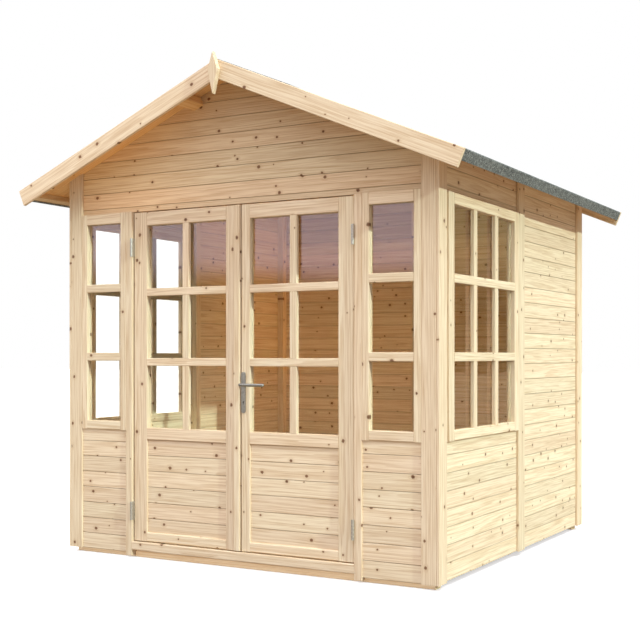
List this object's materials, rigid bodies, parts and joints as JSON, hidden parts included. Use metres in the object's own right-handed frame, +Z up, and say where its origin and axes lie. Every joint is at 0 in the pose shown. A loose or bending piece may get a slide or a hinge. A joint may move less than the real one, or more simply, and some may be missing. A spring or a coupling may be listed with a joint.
{
  "type": "garden house",
  "caption": "Wooden garden house with glazed double doors that swing outward, paned front lights and side windows, board walls and a pitched felt roof with barge boards.",
  "frame": {"origin": "on the ground under the middle of the house, at the bottom centre of its box", "axes": "+Z up, +X to the right as seen from the front, -Y towards the front with the doors"},
  "size_m": [2.508, 2.516, 2.458],
  "materials": {
    "cladding": "planed spruce boards with knots, untreated",
    "planed_spruce": "planed spruce, untreated",
    "sawn_spruce": "sawn spruce, untreated",
    "felt": "mineral roofing felt, matt and grainy",
    "glass": "clear",
    "steel": "zinc plated, satin"
  },
  "bodies": {
    "house": {"floor_bearers": "sawn_spruce", "floor_deck": "sawn_spruce", "door_threshold": "planed_spruce", "front_corner_trims": "planed_spruce", "rear_corner_trims": "planed_spruce", "wall_posts": "sawn_spruce", "front_left_panel": "cladding", "front_right_panel": "cladding", "door_posts": "planed_spruce", "front_light_frames": "planed_spruce", "front_light_glass": "glass", "front_gable": "cladding", "left_wall_front_panel": "cladding", "left_wall_rear_panel": "cladding", "right_wall_front_panel": "cladding", "right_wall_rear_panel": "cladding", "window_frames": "planed_spruce", "window_glass": "glass", "wall_battens": "planed_spruce", "rear_left_panel": "cladding", "rear_right_panel": "cladding", "rear_gable": "cladding", "purlins": "sawn_spruce", "left_roof_deck": "sawn_spruce", "right_roof_deck": "sawn_spruce", "eave_battens": "sawn_spruce", "left_roof_felt": "felt", "right_roof_felt": "felt", "front_left_barge_board": "planed_spruce", "front_right_barge_board": "planed_spruce", "rear_left_barge_board": "planed_spruce", "rear_right_barge_board": "planed_spruce", "finials": "planed_spruce", "post_hinges": "steel"},
    "left_leaf": {"left_leaf_frame": "planed_spruce", "left_leaf_panel": "cladding", "left_leaf_glass": "glass", "left_leaf_hinges": "steel", "cover_strip": "planed_spruce"},
    "right_leaf": {"right_leaf_frame": "planed_spruce", "right_leaf_panel": "cladding", "right_leaf_glass": "glass", "right_leaf_hinges": "steel", "handle_plate": "steel"},
    "lever": {"handle_lever": "steel"}
  },
  "joints": [
    {"name": "left_door_swing", "type": "hinge", "parent": "house", "child": "left_leaf", "pos_m": [-0.64, -1.0623, 0.9], "axis": [0, 0, -1], "range_deg": [0, 110]},
    {"name": "right_door_swing", "type": "hinge", "parent": "house", "child": "right_leaf", "pos_m": [0.64, -1.0623, 0.9], "axis": [0, 0, 1], "range_deg": [0, 110]},
    {"name": "lever_turn", "type": "hinge", "parent": "right_leaf", "child": "lever", "pos_m": [0.0345, -1.06, 0.892], "axis": [0, 1, 0], "range_deg": [0, 40], "stiffness_Nm_per_rad": 1.5, "springref_deg": -28.65}
  ]
}
